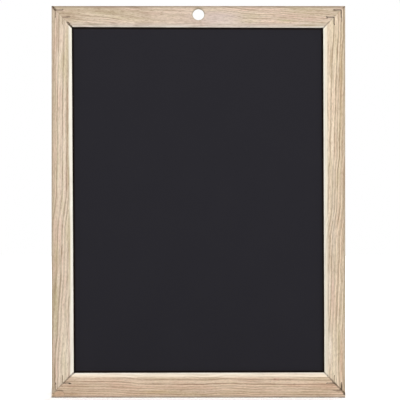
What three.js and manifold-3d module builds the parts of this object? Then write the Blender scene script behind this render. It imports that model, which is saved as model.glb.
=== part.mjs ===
// A small wall-hung chalkboard. Four mitred pine mouldings, V-nailed at the corners, hold a thin
// black writing panel in a groove along their inner edges, and a hole through the top rail hangs it.
//
// Millimetres, +Z up. The board hangs upright and is written on from -Y. The origin is the centre of
// the hanging hole where it meets the rear face, which is the face that lies against the wall.
import * as THREE from "three";
import { mergeVertices } from "three/addons/utils/BufferGeometryUtils.js";
import Module from "manifold-3d";

// Overall format
const boardWidth = 300;
const boardHeight = 400;
const frameThickness = 12;

// Frame mouldings. The bottom rail is cut from wider stock than the other three.
const stileWidth = 22;
const topRailWidth = 22;
const bottomRailWidth = 25.5;
const arrisRadius = 1.5; // rounding of the two outer long edges
const bevelWidth = 4.3; // slope beside the panel, seen from the front
const lipThickness = 1; // wood left between the foot of that slope and the groove
const grooveDepth = 5;
const mitreGap = 0.3; // glue line between two mitred ends

// Writing panel
const coreThickness = 2.4;
const sheetThickness = 0.4;
const bondLine = 0.05; // adhesive between the core and each sheet
const panelFaceClearance = 0.3; // each face of the panel to the side of the groove
const panelEdgeClearance = 0.4; // each edge of the panel to the bottom of the groove

// Hanging hole
const holeDiameter = 12;
const holeCover = 2.5; // wood left between the hole and the top edge

// V-nails: bent steel strip, driven flush from the front across each mitre
const nailLeg = 7;
const nailLip = 0.9; // flared end of each leg
const nailLipAngle = Math.PI / 5;
const nailStrip = 0.5;
const nailHeight = 7;
const nailSink = 0.4; // top edge of the strip below the face of the frame
const nailClearance = 0.15; // strip to the wood around it
const nailPlaceShares = { inner: 0.48, outer: 0.81 }; // of the mitre, from its inner corner

const overrun = 1; // how far every cutter runs past the face that it cuts
const arcSegments = 6;
const holeSegments = 72;

// Finishes
const wood = new THREE.MeshStandardMaterial({ color: "#d6c0a4", roughness: 0.78, metalness: 0 });
const paleWood = new THREE.MeshStandardMaterial({ color: "#dcc8ae", roughness: 0.78, metalness: 0 });
const fibreboard = new THREE.MeshStandardMaterial({ color: "#5d4030", roughness: 0.85, metalness: 0 });
const slateBlack = new THREE.MeshStandardMaterial({ color: "#2b2a2f", roughness: 0.9, metalness: 0 });
const nailSteel = new THREE.MeshStandardMaterial({ color: "#8d8880", roughness: 0.45, metalness: 1 });

const wasm = await Module();
wasm.setup();

// A closed geometry as a solid that can be cut.
function solidOf(geometry) {
  const bare = geometry.clone();
  bare.deleteAttribute("normal");
  bare.deleteAttribute("uv");
  const merged = mergeVertices(bare);
  return new wasm.Manifold(
    new wasm.Mesh({
      numProp: 3,
      vertProperties: merged.attributes.position.array,
      triVerts: new Uint32Array(merged.index.array),
    }),
  );
}

// A solid as a geometry with flat faces.
function geometryOf(solid) {
  const mesh = solid.getMesh();
  const geometry = new THREE.BufferGeometry();
  geometry.setAttribute("position", new THREE.BufferAttribute(mesh.vertProperties, mesh.numProp));
  geometry.setIndex(new THREE.BufferAttribute(mesh.triVerts, 1));
  const flat = geometry.toNonIndexed();
  flat.computeVertexNormals();
  return flat;
}

// An outline drawn in the front view, as (x, z) points, made solid from rearY forward to frontY.
function frontPlate(points, rearY, frontY) {
  const geometry = new THREE.ExtrudeGeometry(new THREE.Shape(points), {
    depth: rearY - frontY,
    bevelEnabled: false,
  });
  const seenFromFront = new THREE.Matrix4().makeBasis(
    new THREE.Vector3(1, 0, 0),
    new THREE.Vector3(0, 0, 1),
    new THREE.Vector3(0, -1, 0),
  );
  return geometry.applyMatrix4(seenFromFront).translate(0, rearY, 0);
}

// Panel

const panelThickness = coreThickness + 2 * (sheetThickness + bondLine);
const panelRearY = -(frameThickness - panelThickness) / 2;
const panelInsert = grooveDepth - panelEdgeClearance;
const panelWidth = boardWidth - 2 * (stileWidth - panelInsert);
const panelHeight = boardHeight - topRailWidth - bottomRailWidth + 2 * panelInsert;
const openingCentreZ = (bottomRailWidth - topRailWidth) / 2; // above the middle of the board

// One layer of the panel, its rear face at a given depth.
function panelLayer(name, thickness, rearY, material) {
  const layer = new THREE.Mesh(new THREE.BoxGeometry(panelWidth, thickness, panelHeight), material);
  layer.name = name;
  layer.position.set(0, rearY - thickness / 2, openingCentreZ);
  return layer;
}

const coreRearY = panelRearY - sheetThickness - bondLine;
const panel = new THREE.Group().add(
  panelLayer("rear_writing_sheet", sheetThickness, panelRearY, slateBlack),
  panelLayer("panel_core", coreThickness, coreRearY, fibreboard),
  panelLayer("front_writing_sheet", sheetThickness, coreRearY - coreThickness - bondLine, slateBlack),
);

// V-nails

// The bent line of a V-nail in the front view, its bend at the origin and its legs along -x and -z.
// The lips flare away from the inside of the V.
function nailLine(lip) {
  const along = -nailLeg - lip * Math.cos(nailLipAngle);
  const aside = lip * Math.sin(nailLipAngle);
  return [
    new THREE.Vector2(along, aside),
    new THREE.Vector2(-nailLeg, 0),
    new THREE.Vector2(0, 0),
    new THREE.Vector2(0, -nailLeg),
    new THREE.Vector2(aside, along),
  ];
}

// Both sides of a strip of metal that follows a bent line, with mitred bends.
function stripOutline(line, halfThickness) {
  const runs = line.slice(1).map((point, i) => point.clone().sub(line[i]).normalize());
  const offsets = line.map((point, i) => {
    const before = runs[Math.max(i - 1, 0)];
    const after = runs[Math.min(i, runs.length - 1)];
    const along = before.clone().add(after).normalize();
    return new THREE.Vector2(-along.y, along.x).multiplyScalar(halfThickness / along.dot(before));
  });
  const oneSide = line.map((point, i) => point.clone().add(offsets[i]));
  const otherSide = line.map((point, i) => point.clone().sub(offsets[i]));
  return [...oneSide, ...otherSide.reverse()];
}

const nailOutline = stripOutline(nailLine(nailLip), nailStrip / 2);
const pocketOutline = stripOutline(nailLine(nailLip + nailClearance), nailStrip / 2 + nailClearance);
const nailTopY = -frameThickness + nailSink;
const nailFootY = nailTopY + nailHeight;

// How far the bend of each V-nail lies from the inner corner, along either of two mitred mouldings.
function nailPlaces(oneWidth, otherWidth) {
  const mitreRun = Math.min(oneWidth, otherWidth);
  return Object.entries(nailPlaceShares).map(([place, share]) => ({ place, run: share * mitreRun }));
}

// The two V-nails of one corner, placed from its inner corner, with the outer edges of both
// mouldings on the +x and +z sides.
function cornerNails(corner, railWidth) {
  const nails = new THREE.Group();
  for (const { place, run } of nailPlaces(railWidth, stileWidth)) {
    const nail = new THREE.Mesh(frontPlate(nailOutline, nailFootY, nailTopY), nailSteel);
    nail.name = `v_nail_${corner}_${place}`;
    nail.position.set(run, 0, run);
    nails.add(nail);
  }
  return nails;
}

// Mouldings. Each is made lying along x with its outer edge on z = 0 and its inner edge below.

// The cross-section: u runs inward from the outer edge, y from the rear face at 0 to the front.
function mouldingProfile(width) {
  const front = -frameThickness;
  const grooveWall = -panelRearY - panelFaceClearance; // wood between a face and the groove
  const bevelDepth = grooveWall - lipThickness;
  const profile = new THREE.Shape();
  profile.moveTo(0, front + arrisRadius);
  profile.absarc(arrisRadius, front + arrisRadius, arrisRadius, Math.PI, 1.5 * Math.PI, false);
  profile.lineTo(width - bevelWidth, front);
  profile.lineTo(width, front + bevelDepth);
  profile.lineTo(width, front + grooveWall);
  profile.lineTo(width - grooveDepth, front + grooveWall);
  profile.lineTo(width - grooveDepth, -grooveWall);
  profile.lineTo(width, -grooveWall);
  profile.lineTo(width, -bevelDepth);
  profile.lineTo(width - bevelWidth, 0);
  profile.lineTo(arrisRadius, 0);
  profile.absarc(arrisRadius, -arrisRadius, arrisRadius, 0.5 * Math.PI, Math.PI, false);
  return profile;
}

// One end of a moulding in the front view, from the inner corner out: a 45 degree mitre that runs to
// the outer edge or, on the wider of two mouldings, to the other's outer edge and then a square end.
function mitredEnd(length, width, neighbourWidth) {
  const setBack = mitreGap / Math.SQRT2;
  const innerX = length / 2 - neighbourWidth - setBack;
  const run = Math.min(width, neighbourWidth + setBack);
  const end = [new THREE.Vector2(innerX, -width), new THREE.Vector2(innerX + run, run - width)];
  if (run < width) end.push(new THREE.Vector2(innerX + run, 0));
  return end;
}

const mirrored = (points) => points.map((point) => new THREE.Vector2(-point.x, point.y));

// A mitred and grooved moulding with the pockets of the V-nails at both ends. widths holds its own
// width and those of the mouldings at its left and right ends.
function moulding(length, widths) {
  const alongX = new THREE.Matrix4().makeBasis(
    new THREE.Vector3(0, 0, -1),
    new THREE.Vector3(0, 1, 0),
    new THREE.Vector3(1, 0, 0),
  );
  const stock = new THREE.ExtrudeGeometry(mouldingProfile(widths.own), {
    depth: length,
    bevelEnabled: false,
    curveSegments: arcSegments,
  });
  stock.applyMatrix4(alongX).translate(-length / 2, 0, 0);

  const rightEnd = mitredEnd(length, widths.own, widths.right);
  const leftEnd = mirrored(mitredEnd(length, widths.own, widths.left));
  const outline = [...rightEnd, ...leftEnd.reverse()];
  let solid = solidOf(stock).intersect(
    solidOf(frontPlate(outline, overrun, -frameThickness - overrun)),
  );

  const pocketFloorY = nailFootY + nailClearance;
  for (const side of [{ neighbour: widths.right, sign: 1 }, { neighbour: widths.left, sign: -1 }]) {
    const innerX = length / 2 - side.neighbour;
    for (const { run } of nailPlaces(widths.own, side.neighbour)) {
      const place = new THREE.Vector2(innerX + run, run - widths.own);
      const right = pocketOutline.map((point) => point.clone().add(place));
      const pocket = side.sign > 0 ? right : mirrored(right);
      solid = solid.subtract(solidOf(frontPlate(pocket, pocketFloorY, -frameThickness - overrun)));
    }
  }
  return solid;
}

// The hanging hole, straight through the top rail, below its outer edge.
const holeDrop = holeCover + holeDiameter / 2;

function hangingHole() {
  const drill = new THREE.CylinderGeometry(
    holeDiameter / 2,
    holeDiameter / 2,
    frameThickness + 2 * overrun,
    holeSegments,
  );
  return solidOf(drill.translate(0, -frameThickness / 2, -holeDrop));
}

function mouldingMesh(name, solid, material) {
  const mesh = new THREE.Mesh(geometryOf(solid), material);
  mesh.name = name;
  return mesh;
}

// Assembly, first about the middle of the board

const board = new THREE.Group();
board.add(panel);

const railSpan = (own) => ({ own, left: stileWidth, right: stileWidth });
const topRail = mouldingMesh(
  "top_rail",
  moulding(boardWidth, railSpan(topRailWidth)).subtract(hangingHole()),
  wood,
);
topRail.position.z = boardHeight / 2;

const bottomRail = mouldingMesh("bottom_rail", moulding(boardWidth, railSpan(bottomRailWidth)), wood);
bottomRail.position.z = -boardHeight / 2;
bottomRail.rotation.y = Math.PI;

// Seen from the front, the left stile has the bottom rail at its own left end.
const leftStile = mouldingMesh(
  "left_stile",
  moulding(boardHeight, { own: stileWidth, left: bottomRailWidth, right: topRailWidth }),
  paleWood,
);
leftStile.position.x = -boardWidth / 2;
leftStile.rotation.y = -Math.PI / 2;

const rightStile = mouldingMesh(
  "right_stile",
  moulding(boardHeight, { own: stileWidth, left: topRailWidth, right: bottomRailWidth }),
  paleWood,
);
rightStile.position.x = boardWidth / 2;
rightStile.rotation.y = Math.PI / 2;
board.add(topRail, bottomRail, leftStile, rightStile);

const innerCornerX = boardWidth / 2 - stileWidth;
const corners = [
  { name: "top_right", rail: topRailWidth, side: 1, up: 1, turn: 0 },
  { name: "top_left", rail: topRailWidth, side: -1, up: 1, turn: -Math.PI / 2 },
  { name: "bottom_left", rail: bottomRailWidth, side: -1, up: -1, turn: Math.PI },
  { name: "bottom_right", rail: bottomRailWidth, side: 1, up: -1, turn: Math.PI / 2 },
];
for (const { name, rail, side, up, turn } of corners) {
  const nails = cornerNails(name, rail);
  nails.position.set(side * innerCornerX, 0, up * (boardHeight / 2 - rail));
  nails.rotation.y = turn;
  board.add(nails);
}

// The board hangs from its hole, so the hole's centre comes to the origin.
board.position.z = holeDrop - boardHeight / 2;

const chalkboard = new THREE.Group();
chalkboard.add(board);
export default chalkboard;
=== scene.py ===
# A small wall-hung chalkboard: four mitred pine mouldings, V-nailed at the corners, hold a matt black
# writing panel, and a hole through the top rail hangs it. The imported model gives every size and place,
# and this script gives the wood, the steel and the black facing their shapes and surfaces.
# Metres, +Z up, the board faces -Y. Lengths in the dictionaries are millimetres.
import math
from functools import partial
import bpy
import numpy as np
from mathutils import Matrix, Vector


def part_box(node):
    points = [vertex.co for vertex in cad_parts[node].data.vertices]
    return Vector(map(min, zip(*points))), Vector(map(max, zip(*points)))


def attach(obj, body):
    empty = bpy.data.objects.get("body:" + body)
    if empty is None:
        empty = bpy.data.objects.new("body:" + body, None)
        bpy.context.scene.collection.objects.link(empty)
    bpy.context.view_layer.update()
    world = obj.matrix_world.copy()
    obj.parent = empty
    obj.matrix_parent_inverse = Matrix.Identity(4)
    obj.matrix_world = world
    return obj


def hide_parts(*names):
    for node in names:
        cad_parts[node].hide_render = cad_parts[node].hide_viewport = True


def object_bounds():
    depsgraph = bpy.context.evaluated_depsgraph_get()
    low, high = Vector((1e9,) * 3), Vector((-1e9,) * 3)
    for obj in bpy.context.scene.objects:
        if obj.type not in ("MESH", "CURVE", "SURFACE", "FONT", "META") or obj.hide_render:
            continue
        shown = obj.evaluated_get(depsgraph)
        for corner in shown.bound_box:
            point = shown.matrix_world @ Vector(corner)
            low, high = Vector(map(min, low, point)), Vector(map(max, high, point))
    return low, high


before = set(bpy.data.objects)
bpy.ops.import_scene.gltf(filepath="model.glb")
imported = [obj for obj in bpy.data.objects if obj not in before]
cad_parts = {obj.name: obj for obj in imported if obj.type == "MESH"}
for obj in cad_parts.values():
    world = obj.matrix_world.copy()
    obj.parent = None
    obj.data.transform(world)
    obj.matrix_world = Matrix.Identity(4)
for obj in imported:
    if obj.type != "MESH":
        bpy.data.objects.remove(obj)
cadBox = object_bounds()

mm = 0.001
scene = bpy.context.scene
scene.view_settings.view_transform = "Standard"


def nodeBox(node):
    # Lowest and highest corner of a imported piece, in millimetres.
    return [np.array(corner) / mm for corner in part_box(node)]


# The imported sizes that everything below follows
lowest, highest = [np.array(corner) / mm for corner in cadBox]
thickness = highest[1] - lowest[1]
frontY = lowest[1]
stileWidth = nodeBox("left_stile")[1][0] - lowest[0]
topWidth = highest[2] - nodeBox("top_rail")[0][2]
bottomWidth = nodeBox("bottom_rail")[1][2] - lowest[2]
halfOpenWidth = (highest[0] - lowest[0]) / 2 - stileWidth
halfOpenHeight = (highest[2] - lowest[2] - topWidth - bottomWidth) / 2
openMiddleZ = lowest[2] + bottomWidth + halfOpenHeight
panelRearY = nodeBox("rear_writing_sheet")[1][1]
print("frame loaded:", len(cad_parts), "nodes, board", (highest - lowest).round(1).tolist())


# Shapes

def roundedLine(corners, cuts, perCorner, perRun, closed):
    # A line through corners. Each corner C becomes the curve (1-t)^2 A + 2t(1-t) C + t^2 B, where A and B
    # lie one cut away from it on either side, and perRun points divide each straight run between two curves.
    corners = np.array(corners, float)
    cuts = np.array(cuts, float)[:, None]
    before = np.roll(corners, 1, axis=0) - corners
    after = np.roll(corners, -1, axis=0) - corners
    start = corners + cuts * before / np.linalg.norm(before, axis=1, keepdims=True)
    end = corners + cuts * after / np.linalg.norm(after, axis=1, keepdims=True)
    t = np.linspace(0, 1, perCorner)[None, :, None]
    curves = (1 - t) ** 2 * start[:, None] + 2 * t * (1 - t) * corners[:, None] + t ** 2 * end[:, None]
    t = np.linspace(0, 1, perRun + 2)[None, 1:-1, None]
    runs = (1 - t) * end[:, None] + t * np.roll(start, -1, axis=0)[:, None]
    points = np.concatenate([curves, runs], axis=1).reshape(-1, 2)
    return points if closed else points[perCorner - 1:len(points) - perRun - perCorner + 1]


def sideways(points, closed):
    # Unit vectors across a line: the step from the point before to the point after, turned a quarter.
    step = np.gradient(points, axis=0)
    if closed:
        step = np.roll(points, -1, axis=0) - np.roll(points, 1, axis=0)
    across = np.stack([step[:, 1], -step[:, 0]], axis=1)
    return across / np.linalg.norm(across, axis=1, keepdims=True)


def sweptFaces(stations, ring, fold=(0, 0)):
    # Quads between neighbouring rings of a sweep, and flat ends. An end that is folded from one point of its
    # ring to another is two flat faces.
    row = np.arange(stations - 1)[:, None] * ring
    here = np.arange(ring)[None, :]
    there = np.roll(here, -1, axis=1)
    quads = np.stack([row + here, row + there, row + ring + there, row + ring + here], axis=-1)
    around = np.roll(np.arange(ring), -fold[0])
    foldedTo = fold[1] - fold[0]
    ends = [around[:foldedTo + 1], np.append(around[foldedTo:], around[0])] if foldedTo else [around]
    faces = quads.reshape(-1, 4).tolist()
    for end in ends:
        faces += [end[::-1].tolist(), (end + (stations - 1) * ring).tolist()]
    return faces


def makePiece(name, points, faces):
    # A mesh object at the origin from points in millimetres. Its faces are turned round where its volume,
    # the sum of a . (b x c) over its triangles, is negative.
    mesh = bpy.data.meshes.new(name)
    mesh.from_pydata((points * mm).tolist(), [], faces)
    mesh.calc_loop_triangles()
    corners = np.empty(len(mesh.loop_triangles) * 3, int)
    mesh.loop_triangles.foreach_get("vertices", corners)
    a, b, c = points[corners.reshape(-1, 3)].transpose(1, 0, 2)
    if np.sum(a * np.cross(b, c)) < 0:
        mesh.flip_normals()
    piece = bpy.data.objects.new(name, mesh)
    scene.collection.objects.link(piece)
    return piece


sharpAngle = 40  # degrees: edges that turn by more than this stay sharp


def soften(piece):
    piece.data.shade_smooth()
    piece.data.set_sharp_from_angle(angle=math.radians(sharpAngle))


def cutOut(piece, cutter, material):
    # Cuts a closed shape out of a piece as plain mesh, with the material on the new faces.
    dress(cutter, material)
    cut = piece.modifiers.new("cut", "BOOLEAN")
    cut.operation = "DIFFERENCE"
    cut.solver = "EXACT"
    cut.material_mode = "TRANSFER"
    cut.object = cutter
    evaluated = piece.evaluated_get(bpy.context.evaluated_depsgraph_get())
    mesh = bpy.data.meshes.new_from_object(evaluated)
    piece.modifiers.clear()
    piece.data = mesh
    bpy.data.objects.remove(cutter)


def gentleWave(along, seed, shortest, longest, sines=6):
    # A smooth uneven line between 0 and 1: a half plus half the mean of sines of seeded length and phase.
    draw = np.random.default_rng(seed)
    lengths = draw.uniform(shortest, longest, sines)
    phases = draw.uniform(0, 2 * np.pi, sines)
    return 0.5 + 0.5 * np.mean(np.sin(2 * np.pi * along[..., None] / lengths + phases), axis=-1)


# The opening isn't quite square: how far right and up each of its corners lies from its packed place
racking = {"top_left": (-1.6, 0.77), "top_right": (-0.3, -0.15), "bottom_left": (0.5, -0.6),
           "bottom_right": (0.9, -0.1)}


def racked(points):
    # Moves points by the corners' shifts, weighted bilinearly by place in the opening, times nearness, which
    # runs from 1 inside the opening to 0 at the outer edges.
    x, y, z = points.T
    right = np.clip(x / halfOpenWidth, -1, 1) / 2 + 0.5
    top = np.clip((z - openMiddleZ) / halfOpenHeight, -1, 1) / 2 + 0.5
    shares = {"top_left": top * (1 - right), "top_right": top * right,
              "bottom_left": (1 - top) * (1 - right), "bottom_right": (1 - top) * right}
    shiftX, shiftZ = [sum(shares[corner] * racking[corner][axis] for corner in racking) for axis in (0, 1)]
    nearX = np.clip((highest[0] - np.abs(x)) / stileWidth, 0, 1)
    nearZ = np.clip(np.minimum((highest[2] - z) / topWidth, (z - lowest[2]) / bottomWidth), 0, 1)
    return np.stack([x + shiftX * nearX, y, z + shiftZ * nearZ], axis=1)


# Node materials

def colour(hexValue):
    # An sRGB hex value as linear red, green, blue and alpha: c / 12.92 for the darkest, else
    # ((c + 0.055) / 1.055) to the power of 2.4.
    parts = [int(hexValue[i:i + 2], 16) / 255 for i in (1, 3, 5)]
    return [c / 12.92 if c <= 0.04045 else ((c + 0.055) / 1.055) ** 2.4 for c in parts] + [1]


def addNode(tree, kind, inputs=None, stops=None, **settings):
    # Adds one node: settings are its own properties, stops the places and greys of a colour ramp, and inputs
    # its sockets by name or number, each a value, a socket or a node whose first output feeds it.
    node = tree.nodes.new("ShaderNode" + kind)
    for name, value in settings.items():
        setattr(node, name, value)
    if stops:
        node.color_ramp.interpolation = "EASE"
        elements = node.color_ramp.elements
        elements[0].position, elements[-1].position = stops[0][0], stops[-1][0]
        for stop in stops[1:-1]:
            elements.new(stop[0])
        for element, (place, grey) in zip(elements, stops):
            element.color = (grey, grey, grey, 1)
    for name, value in (inputs or {}).items():
        if isinstance(name, str):
            socket = next(one for one in node.inputs if one.name == name and one.enabled)
        else:
            socket = node.inputs[name]
        if isinstance(value, bpy.types.Node):
            value = next(one for one in value.outputs if one.enabled)
        if isinstance(value, bpy.types.NodeSocket):
            tree.links.new(value, socket)
        else:
            socket.default_value = value
    return node


def calculate(add, operation, *values, kind="Math"):
    return add(kind, dict(enumerate(values)), operation=operation)


def ramp(add, value, span, least=0, most=1, smooth=False):
    # A value that runs from span[0] to span[1] becomes one from least to most, and stays there beyond.
    return add("MapRange", {"Value": value, "From Min": span[0], "From Max": span[1], "To Min": least,
                            "To Max": most}, interpolation_type="SMOOTHSTEP" if smooth else "LINEAR")


def mixed(add, share, first, second):
    # The second colour over the first, by a share from 0 to 1.
    return add("Mix", {"Factor": share, "A": first, "B": second}, data_type="RGBA")


mostNoise = (0.3, 0.7)  # nearly all of a noise lies between these


def cloudy(add, place, size, detail):
    # Noise between 0 and 1 whose patches are about one size across.
    return add("TexNoise", {"Vector": place, "Scale": 1 / size, "Detail": detail})


def finishMaterial(add, shade, roughness, height, bump, gloss=0.5, metal=0):
    # The bump is its strength and its depth in millimetres.
    relief = add("Bump", {"Height": height, "Strength": bump[0], "Distance": bump[1] * mm})
    shader = add("BsdfPrincipled", {"Base Color": shade, "Roughness": roughness, "Normal": relief,
                                    "Specular IOR Level": gloss, "Metallic": metal})
    add("OutputMaterial", {"Surface": shader})


def newMaterial(name):
    # A material, the function that adds nodes to it, and the coordinates of its object.
    material = bpy.data.materials.new(name)
    material.use_nodes = True
    material.node_tree.nodes.clear()
    add = partial(addNode, material.node_tree)
    return material, add, add("TexCoord").outputs["Object"]


def dress(piece, material):
    piece.data.materials.clear()
    piece.data.materials.append(material)


# Pine mouldings

moulding = {
    "outerArris": 1.5,     # rounding of the two outer long edges
    "bevelWidth": 4.3,     # slope beside the panel, seen from the front
    "lipThickness": 1.0,   # wood between the foot of the slope and the groove
    "grooveDepth": 5.0,
    "panelClearance": 0.3,
    "shoulder": 0.7,       # rounding where the face turns into the slope
    "lipArris": 0.3,
    "grooveArris": 0.15,
    "mitreEase": 0.08,     # rounding along each mitre, which draws the joint as a fine line
    "glueLine": 0.02,      # between two mitred ends
    "unevenness": 0.1,     # planed by machine: the faces wander by this much, inwards only
    "waves": (40.0, 150.0), "waveSlant": 2,  # lengths of its waves, how much faster they run across
    "perCorner": 6, "perRun": 5,  # points on each rounding of the profile, and between two
    "easeRings": 5, "stations": 150,  # rings on the rounding of a mitre, and along the whole
}


def mouldingProfile(width):
    # The cross-section as (u, y): u runs inwards from the outer edge, y from the rear at 0 to the front.
    shape = moulding
    grooveWall = -panelRearY - shape["panelClearance"]
    slope = grooveWall - shape["lipThickness"]
    bevelStart = width - shape["bevelWidth"]
    grooveFloor = width - shape["grooveDepth"]
    corners = [(0, frontY), (bevelStart, frontY), (width, frontY + slope), (width, frontY + grooveWall),
               (grooveFloor, frontY + grooveWall), (grooveFloor, -grooveWall), (width, -grooveWall),
               (width, -slope), (bevelStart, 0), (0, 0)]
    arris, shoulder = shape["outerArris"], shape["shoulder"]
    lip, groove = shape["lipArris"], shape["grooveArris"]
    cuts = [arris, shoulder, lip, groove, groove, groove, groove, lip, shoulder, arris]
    return roundedLine(corners, cuts, shape["perCorner"], shape["perRun"], closed=True)


def mouldingGrid(width, halfOpening, halfLength, seed):
    # The moulding as a grid of (s, u, y): s runs along it from the middle of the opening. A ring ends at
    # s = halfOpening + width - u, the mitre, or at halfLength where that is nearer, which squares the end.
    # The last rings shrink by ease (1 - sin a) while they step ease (1 - cos a) away from the mitre.
    # The nearest points of the front and rear faces move to where the mitre meets a square end: the fold.
    shape = moulding
    profile = mouldingProfile(width)
    squareFrom = halfOpening + width - shape["glueLine"] - halfLength
    fold = (0, 0)
    if squareFrom > 0:
        flat = [np.isclose(profile[:, 1], faceY) for faceY in (frontY, 0)]
        fold = [int(np.argmin(np.where(on, np.abs(profile[:, 0] - squareFrom), np.inf))) for on in flat]
        profile[fold, 0] = squareFrom
    turn = np.linspace(0, np.pi / 2, shape["easeRings"])
    middle = np.linspace(-1, 1, shape["stations"])[1:-1]
    share = np.concatenate([0 * turn - 1, middle, 0 * turn + 1])
    inset = np.concatenate([1 - np.sin(turn), 0 * middle, 1 - np.sin(turn[::-1])])
    away = np.concatenate([1 - np.cos(turn), 0 * middle + 1, 1 - np.cos(turn[::-1])])
    inset, away = inset * shape["mitreEase"], away * shape["mitreEase"]

    # The walls of the groove don't shrink, so the two lips stay apart
    lipMiddle = -panelRearY - shape["panelClearance"] - shape["lipThickness"] / 2
    grooved = (profile[:, 0] > width / 2) & (np.abs(profile[:, 1] - frontY / 2) < -frontY / 2 - lipMiddle)
    outwards = sideways(profile, closed=True) * ~grooved[:, None]
    u = profile[None, :, 0] - inset[:, None] * outwards[None, :, 0]
    y = profile[None, :, 1] - inset[:, None] * outwards[None, :, 1]
    reach = np.minimum(halfOpening + width - u - shape["glueLine"], halfLength)
    s = share[:, None] * (reach - away[:, None] * math.sqrt(2))
    inwards = np.where(y < frontY / 2, 1, -1)
    y = y + inwards * shape["unevenness"] * gentleWave(s + shape["waveSlant"] * u, seed, *shape["waves"])
    return np.stack([s, u, y], axis=-1), fold


# V-nails

vNail = {
    "leg": 7.0,
    "lip": 0.9,            # flared end of each leg
    "lipAngle": 36.0,
    "bend": 0.85,          # rounding of the middle bend, wider than the strip and its slit
    "lipBend": 0.4,
    "strip": 0.5,
    "topEase": 0.12,       # rounding of the sheared top edge
    "point": 0.3,          # length of the sharpened foot
    "footShare": 0.25, "footEase": 0.02,  # of the strip's thickness, left at the foot, and its rounding
    "overrun": 1.0,        # how far a slit's cutter stands out of the front
    # Side and height of each corner. For each nail, how far the wood stands off the strip, and how much
    # dust and filler covers its level and its upright leg.
    "corners": {
        "top_left": {"side": -1, "up": 1, "inner": (0.05, 0.2, 1.0), "outer": (0.12, 0.15, 0.45)},
        "top_right": {"side": 1, "up": 1, "inner": (0.2, 0.1, 0.2), "outer": (0.2, 0.2, 0.1)},
        "bottom_left": {"side": -1, "up": -1, "inner": (0.08, 0.0, 1.0), "outer": (0.09, 0.9, 0.5)},
        "bottom_right": {"side": 1, "up": -1, "inner": (0.13, 0.35, 0.7), "outer": (0.17, 0.7, 0.0)},
    },
}


def nailLine(longer):
    # The bent strip in the front view as (x, z), its bend at the origin and its legs along -x and -z.
    shape = vNail
    angle = math.radians(shape["lipAngle"])
    lip = shape["lip"] + longer
    along = -shape["leg"] - lip * math.cos(angle)
    aside = lip * math.sin(angle)
    corners = [(along, aside), (-shape["leg"], 0), (0, 0), (0, -shape["leg"]), (aside, along)]
    cuts = [0, shape["lipBend"], shape["bend"], shape["lipBend"], 0]
    return roundedLine(corners, cuts, perCorner=7, perRun=3, closed=False)


def stripAlong(line, section):
    # A section of (across, y) carried along a line of (x, z): each ring is the line's point plus across
    # times the unit vector beside it.
    aside = sideways(line, closed=False)
    x = line[:, None, 0] + aside[:, None, 0] * section[None, :, 0]
    z = line[:, None, 1] + aside[:, None, 1] * section[None, :, 0]
    y = np.broadcast_to(section[None, :, 1], x.shape)
    return np.stack([x, y, z], axis=-1).reshape(-1, 3), sweptFaces(len(line), len(section))


def nailPlace(corner, place):
    # Where a packed V-nail's bend lies, how its strip is mirrored, and its front and rear. The nail's box
    # is the strip's own box, mirrored.
    low, high = nodeBox(f"v_nail_{corner}_{place}")
    where = vNail["corners"][corner]
    half = vNail["strip"] / 2
    points = stripAlong(nailLine(0), np.array([(-half, 0), (half, 0), (0, 1)]))[0]
    centre = (points.min(axis=0) + points.max(axis=0)) / 2
    mirror = np.array([where["side"], 1, where["up"]])
    return (low + high) / 2 - mirror * centre * [1, 0, 1], mirror, low[1], high[1]


def vNailPiece(corner, place):
    bend, mirror, topY, footY = nailPlace(corner, place)
    half = vNail["strip"] / 2
    foot = half * vNail["footShare"]
    sides = [(-half, topY), (half, topY), (half, footY - vNail["point"]), (foot, footY), (-foot, footY),
             (-half, footY - vNail["point"])]
    cuts = [vNail["topEase"]] * 2 + [vNail["footEase"]] * 4
    section = roundedLine(sides, cuts, perCorner=4, perRun=1, closed=True)
    points, faces = stripAlong(nailLine(0), section)
    piece = makePiece(f"vNail_{corner}_{place}", points * mirror + bend * [1, 0, 1], faces)
    soften(piece)
    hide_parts(f"v_nail_{corner}_{place}")
    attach(piece, "root")
    return piece


def nailSlits(places):
    # The slits that hold the V-nails, as one mesh of closed strips that run out through the front face.
    allPoints, allFaces, count = [], [], 0
    outside = frontY - vNail["overrun"]
    for corner, place in places:
        bend, mirror, _, footY = nailPlace(corner, place)
        slit = vNail["corners"][corner][place][0]
        half = vNail["strip"] / 2 + slit
        section = np.array([(-half, outside), (half, outside), (half, footY + slit), (-half, footY + slit)])
        points, faces = stripAlong(nailLine(slit), section)
        allPoints.append(points * mirror + bend * [1, 0, 1])
        winding = int(mirror.prod())  # a mirrored strip turns its faces round
        allFaces += [[index + count for index in face[::winding]] for face in faces]
        count += len(points)
    return makePiece("slits", np.concatenate(allPoints), allFaces)


# Hanging hole

hangingHole = {"radius": 6.0, "ease": 0.25, "overrun": 1.0, "sides": 96}


def holeDrill():
    # A drill that flares at both faces: its radius is the hole's, plus how far a ring lies beyond one ease
    # inside the face.
    ease, overrun = hangingHole["ease"], hangingHole["overrun"]
    depth = np.array([frontY - overrun, frontY + ease, -ease, overrun])
    radius = hangingHole["radius"] + np.array([ease + overrun, 0, 0, ease + overrun])
    turn = np.linspace(0, 2 * np.pi, hangingHole["sides"], endpoint=False)
    x = radius[:, None] * np.cos(turn)
    z = radius[:, None] * np.sin(turn)
    y = np.broadcast_to(depth[:, None], x.shape)
    points = np.stack([x, y, z], axis=-1).reshape(-1, 3)
    return makePiece("drill", points, sweptFaces(len(depth), len(turn)))


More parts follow.
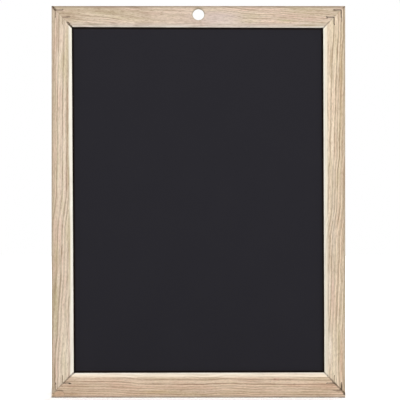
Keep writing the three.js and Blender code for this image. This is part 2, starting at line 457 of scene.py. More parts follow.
# How each moulding lies: width, half of its opening, half of its length, seed, and how (s, u, y) turns into
# (x, y, z). For the material, the same turn the other way: (along, depth, across) from (x, y, z).
quarter = math.pi / 2
mouldings = {
    "top_rail": {
        "width": topWidth, "halfOpening": halfOpenWidth, "seed": 11, "slot": "pine_rail",
        "place": lambda s, u, y: (s, y, highest[2] - u),
        "origin": (0, -frontY, highest[2]), "turn": (0, 0, 0), "mirror": (1, 1, -1),
        "inwards": (0, -1),
        "corners": ["top_left", "top_right"],
    },
    "bottom_rail": {
        "width": bottomWidth, "halfOpening": halfOpenWidth, "seed": 23, "slot": "pine_rail",
        "place": lambda s, u, y: (s, y, lowest[2] + u),
        "origin": (0, -frontY, -lowest[2]), "turn": (0, 0, 0), "mirror": (1, 1, 1),
        "inwards": (0, 1),
        "corners": ["bottom_left", "bottom_right"],
    },
    "left_stile": {
        "width": stileWidth, "halfOpening": halfOpenHeight, "seed": 37, "slot": "pine_stile",
        "place": lambda s, u, y: (lowest[0] + u, y, openMiddleZ + s),
        "origin": (-openMiddleZ, -frontY, -lowest[0]), "turn": (0, quarter, 0), "mirror": (-1, 1, 1),
        "inwards": (1, 0),
        "corners": ["bottom_left", "top_left"],
    },
    "right_stile": {
        "width": stileWidth, "halfOpening": halfOpenHeight, "seed": 53, "slot": "pine_stile",
        "place": lambda s, u, y: (highest[0] - u, y, openMiddleZ + s),
        "origin": (-openMiddleZ, -frontY, highest[0]), "turn": (0, quarter, 0), "mirror": (1, 1, 1),
        "inwards": (-1, 0),
        "corners": ["bottom_right", "top_right"],
    },
}


# Pine: each ring of the tree shows as a line where a moulding was sawn through it

pine = {
    "lineRise": 0.5, "lineFall": 0.24,  # of a latewood line's spacing, over which it darkens and ends
    "driftBox": (400.0, 32.0),          # length and width that hold the wandering of every line
    "fineAt": (-0.2, 1.0),              # part of a sine wave that a fine line takes up
    "fineAlong": (-30.0, 60.0),         # where their strength passes from one end's to the other's
    # Patterns: length and width of a patch, noise values between which it comes up, and strength
    "wave": {"size": (26.0, 12.0), "at": (0.25, 0.75), "reach": 0.6},  # how far it moves a line
    "break": {"size": (24.0, 2.6), "at": (0.3, 0.6), "fineAt": (0.35, 0.6), "least": 0.35},  # fades lines
    "zone": {"size": (60.0, 8.0), "warmAt": (0.5, 0.64), "greenAt": (0.48, 0.36), "share": 0.55},
    "streak": {"size": (40.0, 1.1), "at": (0.5, 0.7), "share": 0.5},  # darker, along the rings
    "fibre": {"size": (5.0, 0.75), "at": (0.5, 0.72), "brown": "#8a7056"},  # drawn coarser than the real 0.3
    "fleck": {"size": (4.0, 0.6), "at": (0.62, 0.74), "share": 0.5, "brown": "#75583e"},  # resin canals
    "hair": {"size": (2.6, 0.16), "darkAt": (0.52, 0.68), "paleAt": (0.48, 0.32), "share": 0.26,
             "pale": "#fff0dc"},  # single torn fibres, which show close up
    "fineDetail": 0.55,  # how much the smallest parts of a pattern count
    # Spans from the opening, from an arris, and from the face, the outer edge and the slope
    "lip": {"pale": "#fffbf0", "share": 0.8, "from": (2.2, 0.6)},  # painted highlight: the last of the slope catches the light
    "arrisAt": (2.9, 0.7),
    "endGrain": {"brown": "#9c7a55", "fromFace": (0.2, 0.7), "fromEdge": (0.8, 1.6), "fromBevel": (0.2, 1.0)},
    # Glue and dirt in the mitres: its reach grows with its darkness, and the core of that is full
    "stain": {"glue": "#432a10", "size": (1.8, 1.8), "at": (0.34, 0.52), "least": 0.3, "reach": (1.6, 0.5),
              "core": 0.4},
    # How dark each mitre is, from the outer edge at 0 to the opening at 1
    "mitres": {
        "top_left": [(0, 1), (0.17, 1), (0.25, 0.15), (0.7, 0.15), (0.79, 1), (1, 1)],
        "top_right": [(0, 0.7), (0.1, 0.35), (0.2, 0.1), (0.6, 0.2), (0.75, 0.5), (1, 0.6)],
        "bottom_left": [(0, 0.1), (0.2, 0.2), (0.45, 0.4), (0.6, 0.6), (1, 0.8)],
        "bottom_right": [(0, 1), (0.12, 1), (0.3, 0.7), (0.6, 0.85), (0.75, 0.6), (1, 0.6)],
    },
    "roughness": (0.55, 0.78), "gloss": 0.3,
    "lineHeight": 0.5, "hairHeight": 0.4, "bump": (0.35, 0.1),
}

# Pith: the middle of the tree, from the outer edge and behind the face. Lean: a line's climb for each
# millimetre along. Drift: how far the lines have wandered inwards at places along. Lines: where each latewood
# line crosses the face in the middle of a moulding, and its strength. Fine: spacing of the fine lines, and
# their strength at the two ends. Bevel: where the slope's paler wood and painted highlight start and are
# full, their colour and strength; bevelGrain is left on it. Arris: the darker, greyer outer edge. Tints lie
# under the
# grain and marks over it: middle along and across, half length, half width, soft share of the radius, colour
# and strength.
woods = {
    "top_rail": {
        "earlywood": "#e2d0bb", "latewood": "#957c63", "warm": "#e2c2b4", "green": "#c6b996",
        "pith": (13.0, 20.0), "lean": 0.08,
        "drift": [(-150, -1), (-105, -0.8), (-42, 1.7), (-4, 0.9), (48, 2.8), (90, 1.8), (150, 1.4)],
        "lines": [(16.5, 0.3), (20.6, 0.75), (23.0, 0.4), (25.0, 0.75), (27.2, 0.4), (29.4, 0.7), (31.4, 0.5),
                  (33.4, 0.7)],
        "fine": (0.9, 0.25, 0.25), "fibreShare": 0.66,
        "bevel": (17.2, 18.6, "#f8e9da", 0.75), "bevelGrain": 0.45, "arris": ("#7d6e58", 0.6),
        "tints": [(-95, 5, 52, 7, 0.9, "#bfb18c", 0.4), (-132, 9, 24, 14, 1.0, "#9c875f", 0.55),
                  (112, 7, 46, 11, 1.0, "#a08a60", 0.4), (89.4, 15.6, 16, 3.5, 1.0, "#c3c493", 0.8),
                  (115.5, 14.6, 8, 2.5, 1.0, "#dcb8a8", 0.4)],
        "marks": [(0, 12, 62, 13, 1.0, "#dcc4bc", 0.4), (22, 12, 38, 10, 1.0, "#d3c3c2", 0.55),
                  (-66, 16, 22, 4.5, 1.0, "#ead8c0", 0.4),
                  # The first mark below, a grey ring round the hanging hole, is painted shade at its rim
                  (0, 8.5, 7.7, 7.7, 0.24, "#82795f", 0.5), (-68, 1.0, 40, 0.9, 0.7, "#6f5f4c", 0.42),
                  (-108, 19.5, 26, 2.0, 1.0, "#a8967a", 0.75), (112, 19.6, 26, 1.7, 1.0, "#a8905c", 0.7),
                  # The two near-white marks below, at the inner edge, are painted highlight
                  (-72, 21.5, 24, 1.3, 1.0, "#fff4e6", 0.7), (32, 21.6, 28, 1.3, 1.0, "#fff2ee", 0.6),
                  (32, 17.5, 26, 3.0, 1.0, "#efe0d8", 0.4),
                  (131.2, 12.3, 2.0, 0.8, 0.7, "#4a2a12", 0.8),
                  (138.6, 4.5, 2.6, 0.9, 0.8, "#4a2a12", 0.65), (-147.4, 2.0, 2.8, 1.6, 0.9, "#3c3a2a", 0.6),
                  (-133, 10.8, 3.0, 0.8, 0.8, "#5a3a20", 0.6), (148.8, 1.6, 1.9, 1.5, 0.8, "#40302a", 0.85)],
    },
    "bottom_rail": {
        "earlywood": "#e8d1b8", "latewood": "#96745a", "warm": "#dcb59c", "green": "#c8b592",
        "pith": (-60.0, 40.0), "lean": 0.0,
        "drift": [(-150, 3.1), (-98, 2.9), (-42, 0.1), (-20, -0.2), (5, -0.2), (30, 1.0), (58, 0),
                  (100, -0.2), (150, -0.8)],
        "lines": [(1.4, 0.5), (3.8, 0.8), (6.2, 0.5), (9.0, 0.7), (11.2, 0.5), (14.1, 1.0), (18.7, 0.85)],
        "fine": (1.7, 0.3, 0.3), "fibreShare": 0.35,
        "bevel": (20.4, 21.9, "#fff0da", 0.85), "bevelGrain": 0.3, "arris": ("#9c9085", 0.6),
        "tints": [(0, 4.5, 220, 5.5, 1.0, "#b89c78", 0.35), (-128, 10, 28, 13, 1.0, "#a28560", 0.35),
                  (128, 10, 28, 13, 1.0, "#a28560", 0.35), (-42, 6.2, 26, 2.8, 1.0, "#d3ba86", 0.6),
                  (8, 6, 26, 4, 1.0, "#e6cdbc", 0.5)],
        "marks": [(76, 13.7, 42, 1.3, 1.0, "#9c785a", 0.5), (79.2, 18.9, 4.6, 2.2, 0.8, "#bd8f79", 0.55),
                  (80.5, 20.0, 4.0, 1.6, 1.0, "#e3bfb0", 0.5), (78.0, 18.9, 1.4, 0.8, 0.6, "#7d5644", 0.6),
                  (-142.4, 2.4, 7.0, 6.2, 0.2, "#7d6a55", 0.6),
                  (-142.0, 1.8, 6.4, 5.7, 0.25, "#d2b093", 0.8), (-129, 3.0, 14, 2.2, 1.0, "#a98560", 0.55),
                  (-147, 2.4, 3.5, 2.0, 1.0, "#a98560", 0.5), (-131.2, 14.75, 2.2, 0.9, 0.7, "#2e1808", 1.0),
                  (-136.6, 15.1, 2.2, 0.7, 0.8, "#3a2010", 0.7),
                  (-139.2, 12.0, 0.9, 0.9, 0.7, "#5a4630", 0.6), (138.3, 15.0, 1.4, 1.3, 0.8, "#4a3018", 0.7),
                  (143, 6.6, 5.5, 0.9, 0.8, "#6b4c30", 0.6), (149.4, 3.6, 2.6, 1.7, 0.8, "#2c1f16", 0.95)],
    },
    "left_stile": {
        "earlywood": "#e9d8c4", "latewood": "#937b60", "warm": "#e0bfae", "green": "#cbbf98",
        "pith": (-30.0, 45.0), "lean": 0.0,
        "drift": [(-200, -14), (-174, -13.4), (-118, -9.8), (-70, -6.7), (-35, -5.5), (15, -0.5), (60, 0),
                  (100, 0.3), (180, 2.1), (200, 2.1)],
        "lines": [(1.5, 0.6), (3.6, 0.5), (6.0, 0.85), (11.9, 0.75), (16.6, 1.0), (19.9, 0.5), (23.5, 0.75),
                  (27.3, 0.65), (31.0, 0.65)],
        "fine": (1.8, 0.3, 0.25), "fibreShare": 0.5,
        "bevel": (17.7, 19.3, "#fffcee", 0.96), "bevelGrain": 0.15, "arris": ("#9d8f7c", 0.5),
        "tints": [(0, 2.5, 400, 5.0, 1.0, "#a8946f", 0.5), (84, 16.6, 115, 1.7, 0.9, "#9a8760", 0.6),
                  (40, 5, 110, 5, 1.0, "#dcd6b4", 0.5), (-96, 4, 26, 4.5, 1.0, "#94804f", 0.55),
                  (-60, 5, 30, 4, 1.0, "#c9bd86", 0.5), (-70, 4.2, 42, 1.8, 0.9, "#97835f", 0.4),
                  (10, 9, 120, 2.4, 1.0, "#dfc4b4", 0.4)],
        "marks": [(-150, 12, 70, 4.5, 1.0, "#f4e8d0", 0.48), (-160, 15.5, 30, 3, 1.0, "#f6ecd8", 0.45),
                  (-50, 18.8, 95, 1.1, 0.9, "#b8a478", 0.8), (24, 18.1, 36, 1.6, 1.0, "#a8946e", 0.85),
                  (-187.6, 4.2, 1.7, 0.8, 0.7, "#4a3424", 0.6)],
    },
    "right_stile": {
        "earlywood": "#f1dfc6", "latewood": "#8f7355", "warm": "#dfc0a6", "green": "#cbbd98",
        "pith": (-40.0, 25.0), "lean": 0.0,
        "drift": [(-200, 13.4), (-128, 13.4), (-100, 12.0), (-75, 11.3), (-42, 10.3), (-5, 5.3), (30, 4.5),
                  (48, 2.8), (86, 2.2), (126, 0.75), (184, -1.3)],
        "lines": [(-6.8, 0.6), (-3.3, 0.7), (0.3, 0.7), (3.4, 0.95), (5.9, 0.85), (8.5, 0.95), (12.9, 0.8),
                  (17.2, 0.4)],
        "fine": (1.6, 0.65, 0.15), "fibreShare": 0.5,
        "bevel": (17.2, 19.1, "#fff5df", 0.96), "bevelGrain": 0.15, "arris": ("#82745f", 0.5),
        "tints": [(120, 4.4, 70, 2.2, 0.8, "#cb9566", 0.5), (-160, 4.4, 34, 1.9, 0.8, "#bd9168", 0.5),
                  (0, 3.5, 230, 4.5, 1.0, "#a58d66", 0.22), (-90, 13, 50, 3, 1.0, "#dcb0a2", 0.5)],
        "marks": [(-166, 12, 58, 5, 1.0, "#f2e3cc", 0.66), (-150, 16.4, 34, 2.6, 1.0, "#f8ecdc", 0.85),
                  (143, 14.5, 36, 1.5, 1.0, "#a08a6a", 0.8), (-90, 16.8, 34, 2.4, 1.0, "#f8ecdc", 0.6),
                  (-30, 12.5, 130, 4.5, 1.0, "#efe4da", 0.24),
                  (184, 3.6, 3.6, 0.9, 0.7, "#4a3018", 0.6), (-191, 3.7, 4.5, 1.0, 0.7, "#4d3a22", 0.75)],
    },
}


def lineStops(wood):
    # The lines as stops of a colour ramp over one span of radius, the distance from the pith, which repeats
    # beyond it. A line at u lies at radius sqrt((u - pithAcross)^2 + pithDepth^2).
    places = [math.hypot(line[0] - wood["pith"][0], wood["pith"][1]) for line in wood["lines"]]
    spacing = (places[-1] - places[0]) / (len(places) - 1)
    start = places[0] - spacing * pine["lineRise"]
    span = places[-1] - start + spacing * (1 - pine["lineRise"])
    stops = [(0.0, 0.0)]
    for place, line in zip(places, wood["lines"]):
        peak = (place - start) / span
        rise = min(pine["lineRise"] * spacing / span, peak - stops[-1][0])
        stops += [(peak - rise, 0.0), (peak, line[1]), (peak + pine["lineFall"] * spacing / span, 0.0)]
    return start, span, stops


def alongGrain(add, place, pattern, seed, detail=2):
    # Noise drawn out along the moulding, in patches of the pattern's length and width.
    length, width = pattern["size"]
    stretched = add("Mapping", {"Vector": place, "Location": (seed, seed * 2, seed * 3),
                                "Scale": (1 / length, 1 / width, 1 / width)})
    return add("TexNoise", {"Vector": stretched, "Scale": 1, "Detail": detail,
                            "Roughness": pine["fineDetail"]})


def patches(add, place, spots):
    # Tints or marks as masks and colours. Each is an ellipse across the face and reaches halfway through.
    found = []
    for middleAlong, middleAcross, halfLength, halfWidth, soft, hexValue, share in spots:
        spot = add("Mapping", {"Vector": place, "Scale": (1 / halfLength, 1 / halfWidth, 2 / thickness),
                               "Location": (-middleAlong / halfLength, -middleAcross / halfWidth, 0)})
        reach = calculate(add, "LENGTH", spot, kind="VectorMath")
        found.append((ramp(add, reach, (1, 1 - soft), most=share, smooth=True), hexValue))
    return found


def faded(add, share, painted):
    return [(calculate(add, "MULTIPLY", mask, share), hexValue) for mask, hexValue in painted]


def growthRings(add, node, rail, along, depth, across):
    # The distance from the tree's pith, and masks of the latewood lines and of the fine lines between them.
    wood, seed = woods[node], mouldings[node]["seed"]
    wave, broken = pine["wave"], pine["break"]
    sway = ramp(add, alongGrain(add, rail, wave, seed), wave["at"], -wave["reach"], wave["reach"])
    length, width = pine["driftBox"]
    stops = [(0.5 + s / length, 0.5 + shift / width) for s, shift in wood["drift"]]
    place = calculate(add, "MULTIPLY_ADD", along, 1 / length, 0.5)
    drift = calculate(add, "MULTIPLY_ADD", add("ValToRGB", {"Fac": place}, stops=stops), width, -width / 2)
    drift = calculate(add, "ADD", drift, sway)
    drift = calculate(add, "MULTIPLY_ADD", along, wood["lean"], drift)
    pithAcross, pithDepth = wood["pith"]
    toPithAcross = calculate(add, "SUBTRACT", calculate(add, "SUBTRACT", across, drift), pithAcross)
    toPithDepth = calculate(add, "SUBTRACT", pithDepth, depth)
    toPith = add("CombineXYZ", {"X": toPithAcross, "Y": toPithDepth})
    radius = calculate(add, "LENGTH", toPith, kind="VectorMath")

    start, span, stops = lineStops(wood)
    ring = calculate(add, "MULTIPLY_ADD", radius, 1 / span, -start / span)
    lines = add("ValToRGB", {"Fac": calculate(add, "FRACT", ring)}, stops=stops)
    whole = ramp(add, alongGrain(add, rail, broken, seed + 1), broken["at"], least=broken["least"])
    lines = calculate(add, "MULTIPLY", lines, whole)

    spacing, atStart, atEnd = wood["fine"]
    fine = calculate(add, "SINE", calculate(add, "MULTIPLY", radius, 2 * math.pi / spacing))
    fine = ramp(add, fine, pine["fineAt"], most=ramp(add, along, pine["fineAlong"], atStart, atEnd))
    whole = ramp(add, alongGrain(add, rail, broken, seed + 7), broken["fineAt"])
    return radius, lines, calculate(add, "MULTIPLY", fine, whole)


def mitreStain(add, node, rail, along, across):
    # Glue and dirt along the two mitres, as dark as the stops of each corner say. The distance to the mitre
    # is halfOpening + width - across - |along|, with the racking of its corner.
    lie, stain = mouldings[node], pine["stain"]
    width = lie["width"]
    toMitre = calculate(add, "SUBTRACT", lie["halfOpening"] + width, across)
    toMitre = calculate(add, "SUBTRACT", toMitre, calculate(add, "ABSOLUTE", along))
    runs = np.abs(lie["inwards"][::-1])
    longer = [side * np.dot(runs, racking[corner]) / width for side, corner in zip((-1, 1), lie["corners"])]
    toMitre = calculate(add, "MULTIPLY_ADD", across, ramp(add, along, (-1, 1), *longer), toMitre)
    acrossShare = calculate(add, "MULTIPLY", across, 1 / width)
    ends = [add("ValToRGB", {"Fac": acrossShare}, stops=pine["mitres"][corner]) for corner in lie["corners"]]
    atEnd = calculate(add, "GREATER_THAN", along, 0)
    dark = add("Mix", {"Factor": atEnd, "A": ends[0], "B": ends[1]}, data_type="FLOAT")
    reach = calculate(add, "MULTIPLY_ADD", dark, *stain["reach"])
    core = calculate(add, "MULTIPLY", reach, stain["core"])
    stained = calculate(add, "MULTIPLY", ramp(add, toMitre, (reach, core), smooth=True), dark)
    patchy = alongGrain(add, rail, stain, lie["seed"] + 6)
    patchy = ramp(add, patchy, stain["at"], least=stain["least"])
    return calculate(add, "MULTIPLY", stained, patchy)


def pineMaterial(node):
    # Scots pine, planed and left raw: matt, with straw-coloured earlywood and brown latewood lines. A ring
    # is a shell round the tree's pith, a line beside or behind the moulding and nearly along it.
    wood, lie = woods[node], mouldings[node]
    seed, width = lie["seed"], lie["width"]
    material, add, place = newMaterial("planedRawPine_" + node)
    rail = add("Mapping", {"Vector": place, "Location": lie["origin"], "Rotation": lie["turn"],
                           "Scale": [side / mm for side in lie["mirror"]]})
    along, depth, across = add("SeparateXYZ", {"Vector": rail}).outputs

    # The pattern follows the racked opening: across is stretched by 1 + shift / width
    shifts = [1 + np.dot(lie["inwards"], racking[corner]) / width for corner in lie["corners"]]
    stretch = ramp(add, along, (-lie["halfOpening"], lie["halfOpening"]), *shifts)
    across = calculate(add, "DIVIDE", across, stretch)
    onRail = add("CombineXYZ", {"X": along, "Y": across, "Z": depth})
    radius, lines, fine = growthRings(add, node, rail, along, depth, across)

    # The slope beside the panel is paler wood with a painted highlight, strongest where the slope faces the
    # light and brightest at its inner edge; the grain is faint on it
    bevelFrom, bevelTo, bevelColour, bevelShare = wood["bevel"]
    bevel = ramp(add, across, (bevelFrom, bevelTo), smooth=True)
    lip = pine["lip"]
    lipSpan = [width - inside for inside in lip["from"]]
    onFace = ramp(add, bevel, (0, 1), 1, wood["bevelGrain"])

    # Warmer and greener zones, streaks, fibres, flecks and torn hairs
    zone = alongGrain(add, rail, pine["zone"], seed + 2, detail=3)
    warm, green = [ramp(add, zone, pine["zone"][at], most=pine["zone"]["share"])
                   for at in ("warmAt", "greenAt")]
    alongRings = add("CombineXYZ", {"X": along, "Y": radius})
    streak = alongGrain(add, alongRings, pine["streak"], seed + 3, detail=3)
    streak = ramp(add, streak, pine["streak"]["at"], most=pine["streak"]["share"])
    fibre = alongGrain(add, rail, pine["fibre"], seed + 4, detail=4)
    fibres = ramp(add, fibre, pine["fibre"]["at"], most=wood["fibreShare"])
    fleck = alongGrain(add, rail, pine["fleck"], seed + 5)
    fleck = ramp(add, fleck, pine["fleck"]["at"], most=pine["fleck"]["share"])
    hair = alongGrain(add, rail, pine["hair"], seed + 8)
    dark, pale = [ramp(add, hair, pine["hair"][at], most=pine["hair"]["share"])
                  for at in ("darkAt", "paleAt")]

    # Darker, greyer outer arrises
    toFace = calculate(add, "MINIMUM", depth, calculate(add, "SUBTRACT", thickness, depth))
    toArris = calculate(add, "LENGTH", add("CombineXYZ", {"X": across, "Y": toFace}), kind="VectorMath")
    arrisColour, arrisShare = wood["arris"]

    # Wood sawn across the fibres, at mitres and square ends, shows only inside the long faces
    end = pine["endGrain"]
    bevelStart = width - moulding["bevelWidth"]
    sawn = calculate(add, "MULTIPLY", ramp(add, toFace, end["fromFace"]), ramp(add, across, end["fromEdge"]))
    besideBevel = ramp(add, across, [bevelStart - inside for inside in end["fromBevel"]])

    # Masks from 0 to 1 and the colours that they lay over the earlywood, in order
    layers = patches(add, onRail, wood["tints"])
    layers += [(calculate(add, "MULTIPLY", bevel, bevelShare), bevelColour),
               (ramp(add, across, lipSpan, most=lip["share"], smooth=True), lip["pale"])]
    layers += faded(add, onFace, [(warm, wood["warm"]), (green, wood["green"]), (fine, wood["latewood"]),
                                  (lines, wood["latewood"]), (streak, wood["latewood"])])
    layers += patches(add, onRail, wood["marks"])
    layers += faded(add, onFace, [(fibres, pine["fibre"]["brown"]), (fleck, pine["fleck"]["brown"]),
                                  (dark, pine["fibre"]["brown"])])
    layers += [(pale, pine["hair"]["pale"]),
               (ramp(add, toArris, pine["arrisAt"], most=arrisShare, smooth=True), arrisColour),
               (calculate(add, "MULTIPLY", sawn, besideBevel), end["brown"]),
               (mitreStain(add, node, rail, along, across), pine["stain"]["glue"])]
    shade = colour(wood["earlywood"])
    for mask, hexValue in layers:
        shade = mixed(add, mask, shade, colour(hexValue))
    relief = calculate(add, "MULTIPLY_ADD", lines, pine["lineHeight"], fibre)
    relief = calculate(add, "MULTIPLY_ADD", hair, pine["hairHeight"], relief)
    roughness = ramp(add, fibre, mostNoise, *pine["roughness"])
    finishMaterial(add, shade, roughness, relief, pine["bump"], pine["gloss"])
    return material


cutPine = {"bruised": "#3a2612",  # walls of the V-nails' slits: painted shade, and stain from the nails
           "drilled": "#c4b8a0",  # wall of the hanging hole
           "fuzz": "#7a5d42", "patch": 1.0, "fuzzAt": (0.4, 0.7), "fuzzShare": 0.35,
           "roughness": 0.9, "bump": (0.4, 0.1), "gloss": 0.2}


def cutPineMaterial(name, hexValue):
    # Pine torn by a tool: fuzzy ends of fibres and matt; the slits' colour is dark for painted shade and
    # stain.
    material, add, place = newMaterial(name)
    fuzz = cloudy(add, place, cutPine["patch"] * mm, detail=3)
    fuzz = ramp(add, fuzz, cutPine["fuzzAt"], most=cutPine["fuzzShare"])
    shade = mixed(add, fuzz, colour(hexValue), colour(cutPine["fuzz"]))
    finishMaterial(add, shade, cutPine["roughness"], fuzz, cutPine["bump"], cutPine["gloss"])
    return material


bruisedPine = cutPineMaterial("bruisedPine", cutPine["bruised"])
drilledPine = cutPineMaterial("drilledPine", cutPine["drilled"])


def mouldingPiece(node):
    # The racked moulding, then its slits and, in the top rail, the hole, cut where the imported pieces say.
    lie = mouldings[node]
    halfLength = highest[0] if lie["halfOpening"] == halfOpenWidth else np.inf
    grid, fold = mouldingGrid(lie["width"], lie["halfOpening"], halfLength, lie["seed"])
    points = np.stack(lie["place"](*np.moveaxis(grid, -1, 0)), axis=-1).reshape(-1, 3)
    piece = makePiece(f"{node}_moulding", racked(points), sweptFaces(*grid.shape[:2], fold))
    dress(piece, pineMaterial(node))
    nails = [(corner, place) for corner in lie["corners"] for place in ("inner", "outer")]
    cutOut(piece, nailSlits(nails), bruisedPine)
    if node == "top_rail":
        cutOut(piece, holeDrill(), drilledPine)
    soften(piece)
    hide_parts(node)
    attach(piece, "root")
    print("made", piece.name, len(piece.data.polygons), "faces")


for node in mouldings:
    mouldingPiece(node)
print("mouldings made")


# Rolled steel strip: dark, half matt, with brown rust in patches

steel = {
    "metal": "#41362c", "rust": "#3b2515", "dust": "#bfa488",
    "patch": 1.2, "rustAt": (0.5, 0.72), "rustShare": 0.7,
    "dustPatch": 1.5, "dustGain": 0.6, "dustAt": (0.72, 0.88),
    "legsMeet": 0.4,  # where one leg's share of dust passes into the other's
    "scratch": 0.15, "roughness": (0.45, 0.65), "bump": (0.3, 0.02),
}


def steelMaterial(corner, place):
    # Bare steel that wood dust and filler cover in places, by a share for each of the nail's legs.
    material, add, onNail = newMaterial(f"rolledSteel_{corner}_{place}")
    bend = nailPlace(corner, place)[0]
    fromBend = add("Mapping", {"Vector": onNail, "Scale": (1 / mm,) * 3,
                               "Location": (-bend[0], 0, -bend[2])})
    patch = cloudy(add, fromBend, steel["patch"], detail=3)
    rust = ramp(add, patch, steel["rustAt"], most=steel["rustShare"])
    shade = mixed(add, rust, colour(steel["metal"]), colour(steel["rust"]))
    away = add("SeparateXYZ", {"Vector": calculate(add, "ABSOLUTE", fromBend, kind="VectorMath")}).outputs
    level, upright = vNail["corners"][corner][place][1:]
    meet = steel["legsMeet"]
    share = ramp(add, calculate(add, "SUBTRACT", away["Z"], away["X"]), (-meet, meet), level, upright)
    grit = cloudy(add, fromBend, steel["dustPatch"], detail=3)
    dusty = ramp(add, calculate(add, "MULTIPLY_ADD", share, steel["dustGain"], grit), steel["dustAt"])
    shade = mixed(add, dusty, shade, colour(steel["dust"]))
    scratch = cloudy(add, fromBend, steel["scratch"], detail=2)
    roughness = ramp(add, scratch, mostNoise, *steel["roughness"])
    bare = calculate(add, "SUBTRACT", 1, dusty)
    finishMaterial(add, shade, roughness, scratch, steel["bump"], metal=bare)
    return material


for corner in vNail["corners"]:
    for place in ("inner", "outer"):
        dress(vNailPiece(corner, place), steelMaterial(corner, place))
print("V-nails made")


# Panel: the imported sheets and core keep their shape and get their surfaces

facing = {
    "black": "#1b1a20", "dust": "#38373b", "border": "#19110a",
    "cloud": 40.0, "cloudAt": (0.4, 0.75), "cloudShare": 0.03,
    "tooth": 0.35, "speckAt": (0.6, 0.8), "speckShare": 0.06,
    "borderAt": (2.9, 1.1), "borderShare": 0.94,  # painted shadow of the frame, from the sides of the opening
    "roughness": (0.82, 0.95), "bump": (0.25, 0.04),
    "gloss": (0.2, 0),  # on the face and in the painted shadow
}
hardboard = {"brown": "#5d4030", "dark": "#3b261a", "fibre": 0.4, "roughness": 0.9, "bump": (0.5, 0.08),
             "gloss": 0.2}


def toOpening(add, place):
    # Millimetres from a point of the panel to the nearest side of the racked opening: the side's distance
    # from the middle, which changes along it, minus the point's.
    onPanel = add("Mapping", {"Vector": place, "Scale": (1 / mm,) * 3, "Location": (0, 0, -openMiddleZ)})
    parts = add("SeparateXYZ", {"Vector": onPanel}).outputs
    x, z = parts["X"], parts["Z"]
    sides = [(0, -1, "bottom_left", "top_left"), (0, 1, "bottom_right", "top_right"),
             (1, -1, "bottom_left", "bottom_right"), (1, 1, "top_left", "top_right")]
    nearest = 1000.0  # farther than any point of the panel
    for axis, sign, first, last in sides:
        beside, along = [(x, z), (z, x)][axis]
        half, halfAlong = [(halfOpenWidth, halfOpenHeight), (halfOpenHeight, halfOpenWidth)][axis]
        ends = [half + sign * racking[corner][axis] for corner in (first, last)]
        reach = ramp(add, along, (-halfAlong, halfAlong), *ends)
        inside = calculate(add, "MULTIPLY_ADD", beside, -sign, reach)
        nearest = calculate(add, "MINIMUM", inside, nearest)
    return nearest


def facingMaterial():
    # Matt black chalk facing, sprayed on: a fine tooth, no gloss and barely seen clouds of old chalk, and a
    # painted shadow of the frame beside it, darker and browner. The real tooth is about 0.1 wide; it is drawn
    # coarser so that it shows.
    material, add, place = newMaterial("mattBlackChalkFacing")
    cloud = cloudy(add, place, facing["cloud"] * mm, detail=4)
    cloud = ramp(add, cloud, facing["cloudAt"], most=facing["cloudShare"])
    tooth = cloudy(add, place, facing["tooth"] * mm, detail=2)
    speck = ramp(add, tooth, facing["speckAt"], most=facing["speckShare"])
    dust = calculate(add, "ADD", cloud, speck)
    shade = mixed(add, dust, colour(facing["black"]), colour(facing["dust"]))
    # Painted shadow of the frame beside the opening: darker, browner and without gloss
    border = ramp(add, toOpening(add, place), facing["borderAt"], most=facing["borderShare"], smooth=True)
    shade = mixed(add, border, shade, colour(facing["border"]))
    roughness = ramp(add, tooth, mostNoise, *facing["roughness"])
    gloss = ramp(add, border, (0, 1), *facing["gloss"])
    finishMaterial(add, shade, roughness, tooth, facing["bump"], gloss)
    return material


def hardboardMaterial():
    # Pressed wood fibre, sawn: brown and felted.
    material, add, place = newMaterial("sawnHardboard")
    fibre = cloudy(add, place, hardboard["fibre"] * mm, detail=4)
    shade = mixed(add, fibre, colour(hardboard["brown"]), colour(hardboard["dark"]))
    finishMaterial(add, shade, hardboard["roughness"], fibre, hardboard["bump"], hardboard["gloss"])
    return material


chalkFacing = facingMaterial()
dress(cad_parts["front_writing_sheet"], chalkFacing)
dress(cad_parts["rear_writing_sheet"], chalkFacing)
dress(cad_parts["panel_core"], hardboardMaterial())
print("panel dressed")


# Studio: a pale floor that turns white away from the board, soft lamps and a straight-on camera

studio = {
    "floorSize": 12000.0, "floorColour": "#ecebe9", "floorGap": 0.2,
    "shadowReach": (25.0, 220.0),  # from the board's foot, where the floor's shadow starts and ends fading
    "floorGlow": 0.35,
    "ambient": 0.12,
    "lampDistance": 4200.0,
    "lampSide": 1900.0,
    "lamps": {  # direction as azimuth and elevation, seen from the board, and watts
        "key": (8, 44, 95.0),
        "leftFill": (-63, 12, 51.0),
        "rightFill": (63, 14, 57.0),
        "rearKey": (155, 36, 92.0),
        "rearFill": (225, 16, 60.0),
    },
    "lens": 210.0, "sensor": 36.0, "frameWidth": 408.4, "frameMiddle": (1.63, -189.7),
    "sightEnd": 100000.0,
}


def whiteRays(add):
    # One for rays from the camera, from a gloss or through a glass, which see the backdrop as white.
    ray = add("LightPath").outputs
    seen = calculate(add, "MAXIMUM", ray["Is Camera Ray"], ray["Is Glossy Ray"])
    return calculate(add, "MAXIMUM", seen, ray["Is Transmission Ray"])


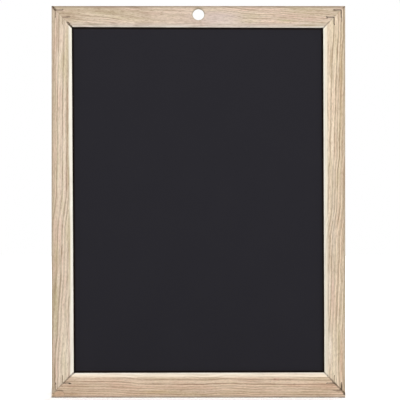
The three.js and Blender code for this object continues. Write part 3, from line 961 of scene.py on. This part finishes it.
def makeFloor():
    # Its glow, which hides its far part, grows with the distance from the board's foot.
    half = studio["floorSize"] / 2
    z = lowest[2] - studio["floorGap"]
    points = np.array([(-half, -half, z), (half, -half, z), (half, half, z), (-half, half, z)])
    floor = makePiece("paleFloor", points, [[0, 1, 2, 3]])
    material, add, place = newMaterial("paleFloor")
    vectors = partial(calculate, add, kind="VectorMath")
    beside = vectors("ABSOLUTE", place)
    beside = vectors("SUBTRACT", beside, (highest[0] * mm, 0, 0))
    beside = vectors("MAXIMUM", beside, (0, 0, 0))
    beside = vectors("MULTIPLY", beside, (1, 1, 0))
    span = [reach * mm for reach in studio["shadowReach"]]
    fade = ramp(add, vectors("LENGTH", beside), span, least=studio["floorGlow"], smooth=True)
    strength = calculate(add, "MULTIPLY", fade, whiteRays(add))
    glow = add("Emission", {"Color": (1, 1, 1, 1), "Strength": strength})
    paint = add("BsdfDiffuse", {"Color": colour(studio["floorColour"])})
    add("OutputMaterial", {"Surface": add("AddShader", {0: paint, 1: glow})})
    dress(floor, material)


def makeWorld():
    world = bpy.data.worlds.new("studioWorld")
    scene.world = world
    world.use_nodes = True
    world.node_tree.nodes.clear()
    add = partial(addNode, world.node_tree)
    strength = ramp(add, whiteRays(add), (0, 1), studio["ambient"], 1)
    add("OutputWorld", {"Surface": add("Background", {"Color": (1, 1, 1, 1), "Strength": strength})})


def makeLamps():
    target = Vector((lowest + highest) / 2 * mm)
    for name, (azimuth, elevation, power) in studio["lamps"].items():
        light = bpy.data.lights.new(name, "AREA")
        light.shape = "SQUARE"
        light.size = studio["lampSide"] * mm
        light.energy = power
        around, up = math.radians(azimuth), math.radians(elevation)
        towards = Vector((math.sin(around) * math.cos(up), -math.cos(around) * math.cos(up), math.sin(up)))
        lamp = bpy.data.objects.new(name, light)
        lamp.location = target + towards * studio["lampDistance"] * mm
        lamp.rotation_euler = (-towards).to_track_quat("-Z", "Y").to_euler()
        lamp.visible_camera = False
        scene.collection.objects.link(lamp)


def makeCamera():
    # The frame's width at the board's front face sets the distance.
    data = bpy.data.cameras.new("camera")
    data.lens = studio["lens"]
    data.sensor_width = studio["sensor"]
    data.clip_end = studio["sightEnd"] * mm
    camera = bpy.data.objects.new("camera", data)
    distance = studio["frameWidth"] * studio["lens"] / studio["sensor"]
    x, z = studio["frameMiddle"]
    camera.location = Vector((x, frontY - distance, z)) * mm
    camera.rotation_euler = (math.pi / 2, 0, 0)
    scene.collection.objects.link(camera)
    scene.camera = camera


makeFloor()
makeWorld()
makeLamps()
makeCamera()
print("studio made")
